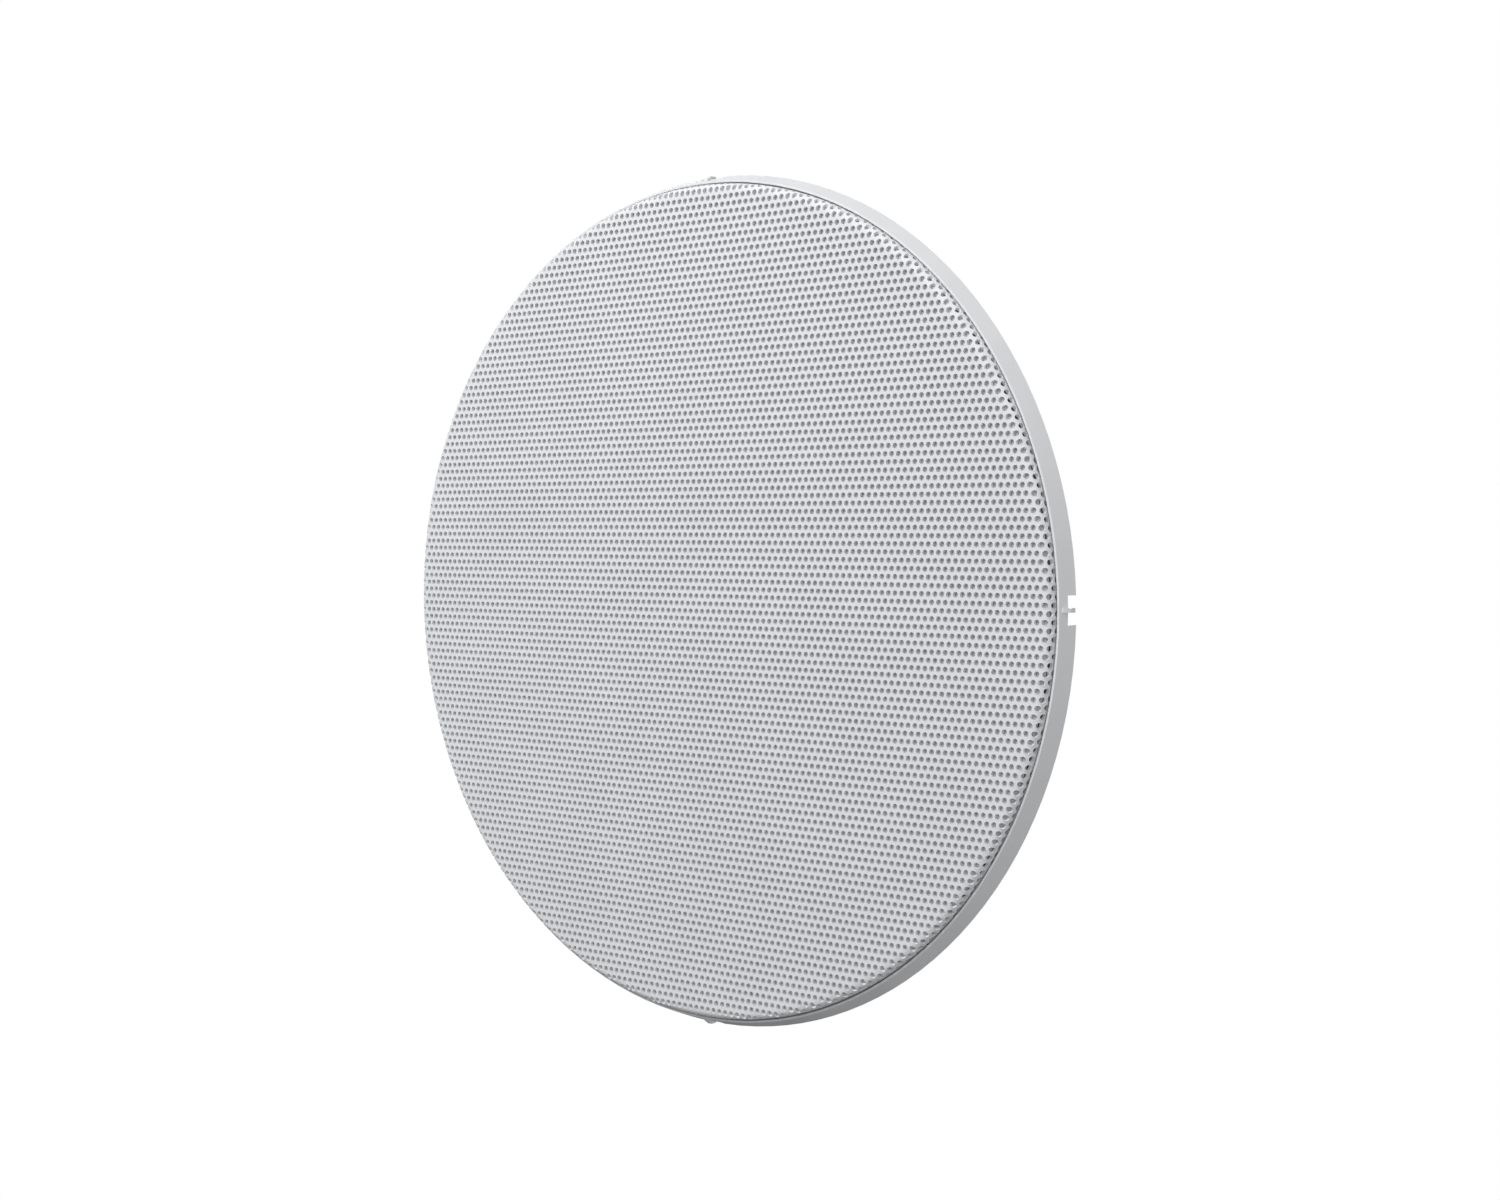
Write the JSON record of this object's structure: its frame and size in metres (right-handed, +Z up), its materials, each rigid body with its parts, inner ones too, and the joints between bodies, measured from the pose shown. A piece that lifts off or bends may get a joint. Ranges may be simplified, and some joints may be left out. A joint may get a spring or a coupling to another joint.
{
  "type": "flush-mount alarm siren",
  "caption": "Round flush-mounting siren: white perforated cover in a thin trim ring, over a mounting plate, driver, amplifier board and back can with swing-out clamps.",
  "frame": {"origin": "centre of the fixing-hole circle in the wall's face, where the trim ring's rear edge and the wall gasket meet the wall", "axes": "+Z up, +Y into the wall, so the perforated front faces -Y; +X to the right as seen from the front"},
  "size_m": [0.2236, 0.0631, 0.2236],
  "materials": {
    "grille_paint": "satin powder coat",
    "ring_moulding": "fine matt texture",
    "scrim_cloth": "thin woven cloth",
    "spring_steel": "bright",
    "clip_steel": "phosphate black",
    "magnet_plating": "nickel plate",
    "zinc_plate": "zinc plated",
    "foam_rubber": "closed cell foam",
    "edge_foam": "grey open cell foam",
    "can_moulding": "spark texture",
    "rivet_aluminium": "plain",
    "cover_moulding": "spark texture",
    "screw_steel": "zinc plated",
    "soft_rubber": "matt",
    "basket_paint": "black stove enamel",
    "surround_rubber": "satin",
    "spider_cloth": "impregnated cloth",
    "pole_steel": "turned",
    "ferrite": "ground",
    "terminal_brass": "tinned",
    "lead_jacket": "insulation",
    "cone_paper": "pressed pulp",
    "cap_cloth": "doped cloth",
    "former_film": "amber film",
    "copper_wire": "enamelled copper",
    "board_laminate": "solder mask",
    "terminal_moulding": "moulded",
    "black_moulding": "moulded",
    "cell_sleeve": "shrink sleeve",
    "capacitor_sleeve": "shrink sleeve",
    "sink_aluminium": "black anodised",
    "relay_moulding": "moulded",
    "adjuster_moulding": "moulded",
    "trimmer_moulding": "moulded",
    "plunger_moulding": "moulded",
    "nut_brass": "turned",
    "dog_moulding": "glass-filled nylon"
  },
  "bodies": {
    "base": {"amplifier_chip": "black_moulding", "back_can": "can_moulding", "battery_cells": "cell_sleeve", "battery_holder": "black_moulding", "board_screws": "screw_steel", "cable_grommet": "soft_rubber", "can_bosses": "can_moulding", "can_flange": "can_moulding", "can_rivets": "rivet_aluminium", "capacitors": "capacitor_sleeve", "circuit_board": "board_laminate", "clamp_feet": "can_moulding", "driver_basket": "basket_paint", "driver_gasket": "foam_rubber", "driver_screws": "screw_steel", "driver_terminals": "terminal_brass", "ferrite_magnet": "ferrite", "heat_sink": "sink_aluminium", "inductor_core": "ferrite", "inductor_winding": "copper_wire", "magnet_top_plate": "pole_steel", "magnet_yoke": "pole_steel", "mounting_plate": "zinc_plate", "rear_cover": "cover_moulding", "rear_cover_screws": "screw_steel", "rear_seal": "foam_rubber", "relay": "relay_moulding", "selector_body": "black_moulding", "speaker_leads": "lead_jacket", "spider": "spider_cloth", "surround": "surround_rubber", "tamper_spring": "spring_steel", "tamper_switch": "black_moulding", "terminal_block": "terminal_moulding", "terminal_screws": "screw_steel", "trimmer_body": "trimmer_moulding", "wall_gasket": "foam_rubber"},
    "cover": {"trim_ring": "ring_moulding", "grille_sheet": "grille_paint", "acoustic_scrim": "scrim_cloth", "grille_clips": "clip_steel", "grille_edge_foam": "edge_foam", "cover_magnets": "magnet_plating"},
    "diaphragm": {"diaphragm_cone": "cone_paper", "dust_cap": "cap_cloth", "coil_former": "former_film", "voice_coil": "copper_wire"},
    "plunger": {"tamper_plunger": "plunger_moulding"},
    "selector": {"selector_knob": "adjuster_moulding"},
    "trimmer": {"trimmer_rotor": "adjuster_moulding"},
    "clamp_screw_body_1": {"clamp_screw_1": "screw_steel"},
    "clamp_nut_body_1": {"clamp_nut_1": "nut_brass"},
    "clamp_dog_body_1": {"clamp_dog_1": "dog_moulding"},
    "clamp_screw_body_2": {"clamp_screw_2": "screw_steel"},
    "clamp_nut_body_2": {"clamp_nut_2": "nut_brass"},
    "clamp_dog_body_2": {"clamp_dog_2": "dog_moulding"},
    "clamp_screw_body_3": {"clamp_screw_3": "screw_steel"},
    "clamp_nut_body_3": {"clamp_nut_3": "nut_brass"},
    "clamp_dog_body_3": {"clamp_dog_3": "dog_moulding"}
  },
  "joints": [
    {"name": "cover_pull", "type": "slide", "parent": "base", "child": "cover", "axis": [0, -1, 0], "range_m": [0, 0.03]},
    {"name": "diaphragm_stroke", "type": "slide", "parent": "base", "child": "diaphragm", "axis": [0, -1, 0], "range_m": [-0.0015, 0.0015], "stiffness_N_per_m": 2500, "deforming": ["surround", "spider"]},
    {"name": "tamper_press", "type": "slide", "parent": "base", "child": "plunger", "axis": [0, 1, 0], "range_m": [0, 0.0015], "stiffness_N_per_m": 150, "springref_m": -0.002, "deforming": ["tamper_spring"]},
    {"name": "tone_selector_turn", "type": "hinge", "parent": "base", "child": "selector", "pos_m": [-0.03, 0, -0.026], "axis": [0, 1, 0], "range_deg": [0, 300]},
    {"name": "volume_trimmer_turn", "type": "hinge", "parent": "base", "child": "trimmer", "pos_m": [0.014, 0, -0.006], "axis": [0, 1, 0], "range_deg": [-135, 135]},
    {"name": "clamp_screw_turn_1", "type": "hinge", "parent": "base", "child": "clamp_screw_body_1", "pos_m": [0, 0, 0.0665], "axis": [0, 1, 0], "range_deg": [0, 3600]},
    {"name": "clamp_nut_travel_1", "type": "slide", "parent": "base", "child": "clamp_nut_body_1", "axis": [0, -1, 0], "range_m": [0, 0.02]},
    {"name": "clamp_dog_swing_1", "type": "hinge", "parent": "clamp_nut_body_1", "child": "clamp_dog_body_1", "pos_m": [0, 0, 0.0665], "axis": [0, 1, 0], "range_deg": [0, 90]},
    {"name": "clamp_screw_turn_2", "type": "hinge", "parent": "base", "child": "clamp_screw_body_2", "pos_m": [-0.05759, 0, -0.03325], "axis": [0, 1, 0], "range_deg": [0, 3600]},
    {"name": "clamp_nut_travel_2", "type": "slide", "parent": "base", "child": "clamp_nut_body_2", "axis": [0, -1, 0], "range_m": [0, 0.02]},
    {"name": "clamp_dog_swing_2", "type": "hinge", "parent": "clamp_nut_body_2", "child": "clamp_dog_body_2", "pos_m": [-0.05759, 0, -0.03325], "axis": [0, 1, 0], "range_deg": [0, 90]},
    {"name": "clamp_screw_turn_3", "type": "hinge", "parent": "base", "child": "clamp_screw_body_3", "pos_m": [0.05759, 0, -0.03325], "axis": [0, 1, 0], "range_deg": [0, 3600]},
    {"name": "clamp_nut_travel_3", "type": "slide", "parent": "base", "child": "clamp_nut_body_3", "axis": [0, -1, 0], "range_m": [0, 0.02]},
    {"name": "clamp_dog_swing_3", "type": "hinge", "parent": "clamp_nut_body_3", "child": "clamp_dog_body_3", "pos_m": [0.05759, 0, -0.03325], "axis": [0, 1, 0], "range_deg": [0, 90]}
  ],
  "couplings": [
    {"joint": "clamp_screw_turn_1", "follows": "clamp_nut_travel_1", "rad_per_m": 3141.6},
    {"joint": "clamp_screw_turn_2", "follows": "clamp_nut_travel_2", "rad_per_m": 3141.6},
    {"joint": "clamp_screw_turn_3", "follows": "clamp_nut_travel_3", "rad_per_m": 3141.6}
  ]
}
